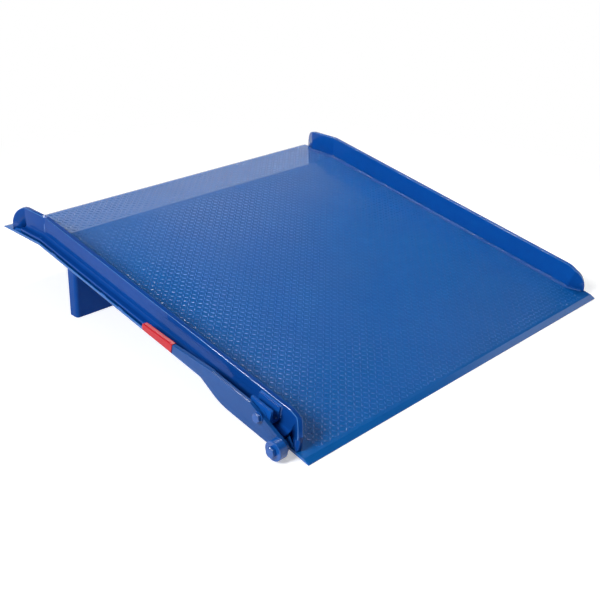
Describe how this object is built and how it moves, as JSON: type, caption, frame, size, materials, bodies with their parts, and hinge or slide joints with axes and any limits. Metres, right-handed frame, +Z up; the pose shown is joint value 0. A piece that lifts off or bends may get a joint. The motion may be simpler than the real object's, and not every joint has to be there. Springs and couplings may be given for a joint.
{
  "type": "dock board",
  "caption": "Bent tread-plate steel dock board with angle curbs, folded locking legs and a hand lever with a roller that lifts its dock edge",
  "frame": {"origin": "middle of the dock edge's lower line, where the board stands on the floor", "axes": "+X across the board, away from the lever's side; +Y from the dock edge to the truck edge; +Z up from the floor"},
  "size_m": [1.5957, 1.504, 0.3251],
  "materials": {
    "deck_enamel": "gloss enamel on tread plate",
    "curb_enamel": "gloss enamel",
    "weld_enamel": "gloss enamel over a rippled bead",
    "leg_enamel": "gloss enamel",
    "bracket_enamel": "gloss enamel",
    "lever_enamel": "gloss enamel",
    "fastener_enamel": "thin gloss enamel over steel",
    "roller_enamel": "gloss enamel",
    "red_vinyl": "dipped soft vinyl"
  },
  "bodies": {
    "board": {"deck_plate": "deck_enamel", "curb_left_main": "curb_enamel", "curb_left_lip": "curb_enamel", "curb_right_main": "curb_enamel", "curb_right_lip": "curb_enamel", "curb_weld_left": "weld_enamel", "curb_weld_right": "weld_enamel", "locking_leg_left": "leg_enamel", "locking_leg_right": "leg_enamel", "lever_bracket": "bracket_enamel", "bracket_weld": "weld_enamel", "pivot_bolt": "fastener_enamel", "pivot_washer": "fastener_enamel", "pivot_spacer": "fastener_enamel", "pivot_nut_washer": "fastener_enamel", "pivot_nut": "fastener_enamel"},
    "lever": {"lever_arm": "lever_enamel", "lever_rest_tab": "lever_enamel", "lever_grip": "red_vinyl", "roller_bolt": "fastener_enamel", "roller_washer": "fastener_enamel"},
    "roller": {"roller": "roller_enamel"}
  },
  "joints": [
    {"name": "lever_pivot", "type": "hinge", "parent": "board", "child": "lever", "pos_m": [-0.78375, 0.16511, 0.08727], "axis": [1, 0, 0], "range_deg": [0, 75]},
    {"name": "roller_spin", "type": "hinge", "parent": "lever", "child": "roller", "pos_m": [-0.8062, 0.07763, 0.03402], "axis": [1, 0, 0], "continuous": true}
  ]
}
